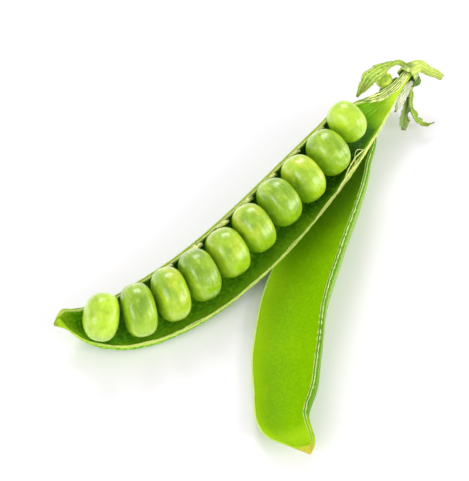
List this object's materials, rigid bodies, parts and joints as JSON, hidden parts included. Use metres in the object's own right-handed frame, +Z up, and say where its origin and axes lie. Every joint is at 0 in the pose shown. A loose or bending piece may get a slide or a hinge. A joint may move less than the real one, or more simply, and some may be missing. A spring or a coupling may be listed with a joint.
{
  "type": "pea pod",
  "caption": "Opened green pea pod lying on a table: one valve holding its row of peas, the empty valve swung out beside it, both joined at the calyx with its stalk.",
  "frame": {"origin": "centre of the footprint on the table under the opened pod", "axes": "+X from the beaks of the valves towards the stalk, +Y from the empty valve towards the full one, +Z up from the table"},
  "size_m": [0.1028, 0.0574, 0.0174],
  "materials": {
    "pea_skin": "smooth, softly glossy light green seed skin",
    "full_valve_skin": "satin green pod wall, paler torn rim and striped seam",
    "empty_valve_skin": "satin bright green pod wall, paler torn rim and striped seam",
    "calyx_skin": "dull veined green, darker at the cup and dry at the tips",
    "stalk_skin": "dull pale yellow-green, fibrous cut end",
    "seed_skin": "satin pale yellow-green"
  },
  "bodies": {
    "root": {"pea_01": "pea_skin", "pea_02": "pea_skin", "pea_03": "pea_skin", "pea_04": "pea_skin", "pea_05": "pea_skin", "pea_06": "pea_skin", "pea_07": "pea_skin", "pea_08": "pea_skin", "pea_09": "pea_skin", "pea_10": "pea_skin", "valve_with_peas": "full_valve_skin", "valve_empty": "empty_valve_skin", "calyx": "calyx_skin", "pedicel": "stalk_skin", "undeveloped_seed": "seed_skin"}
  },
  "joints": []
}
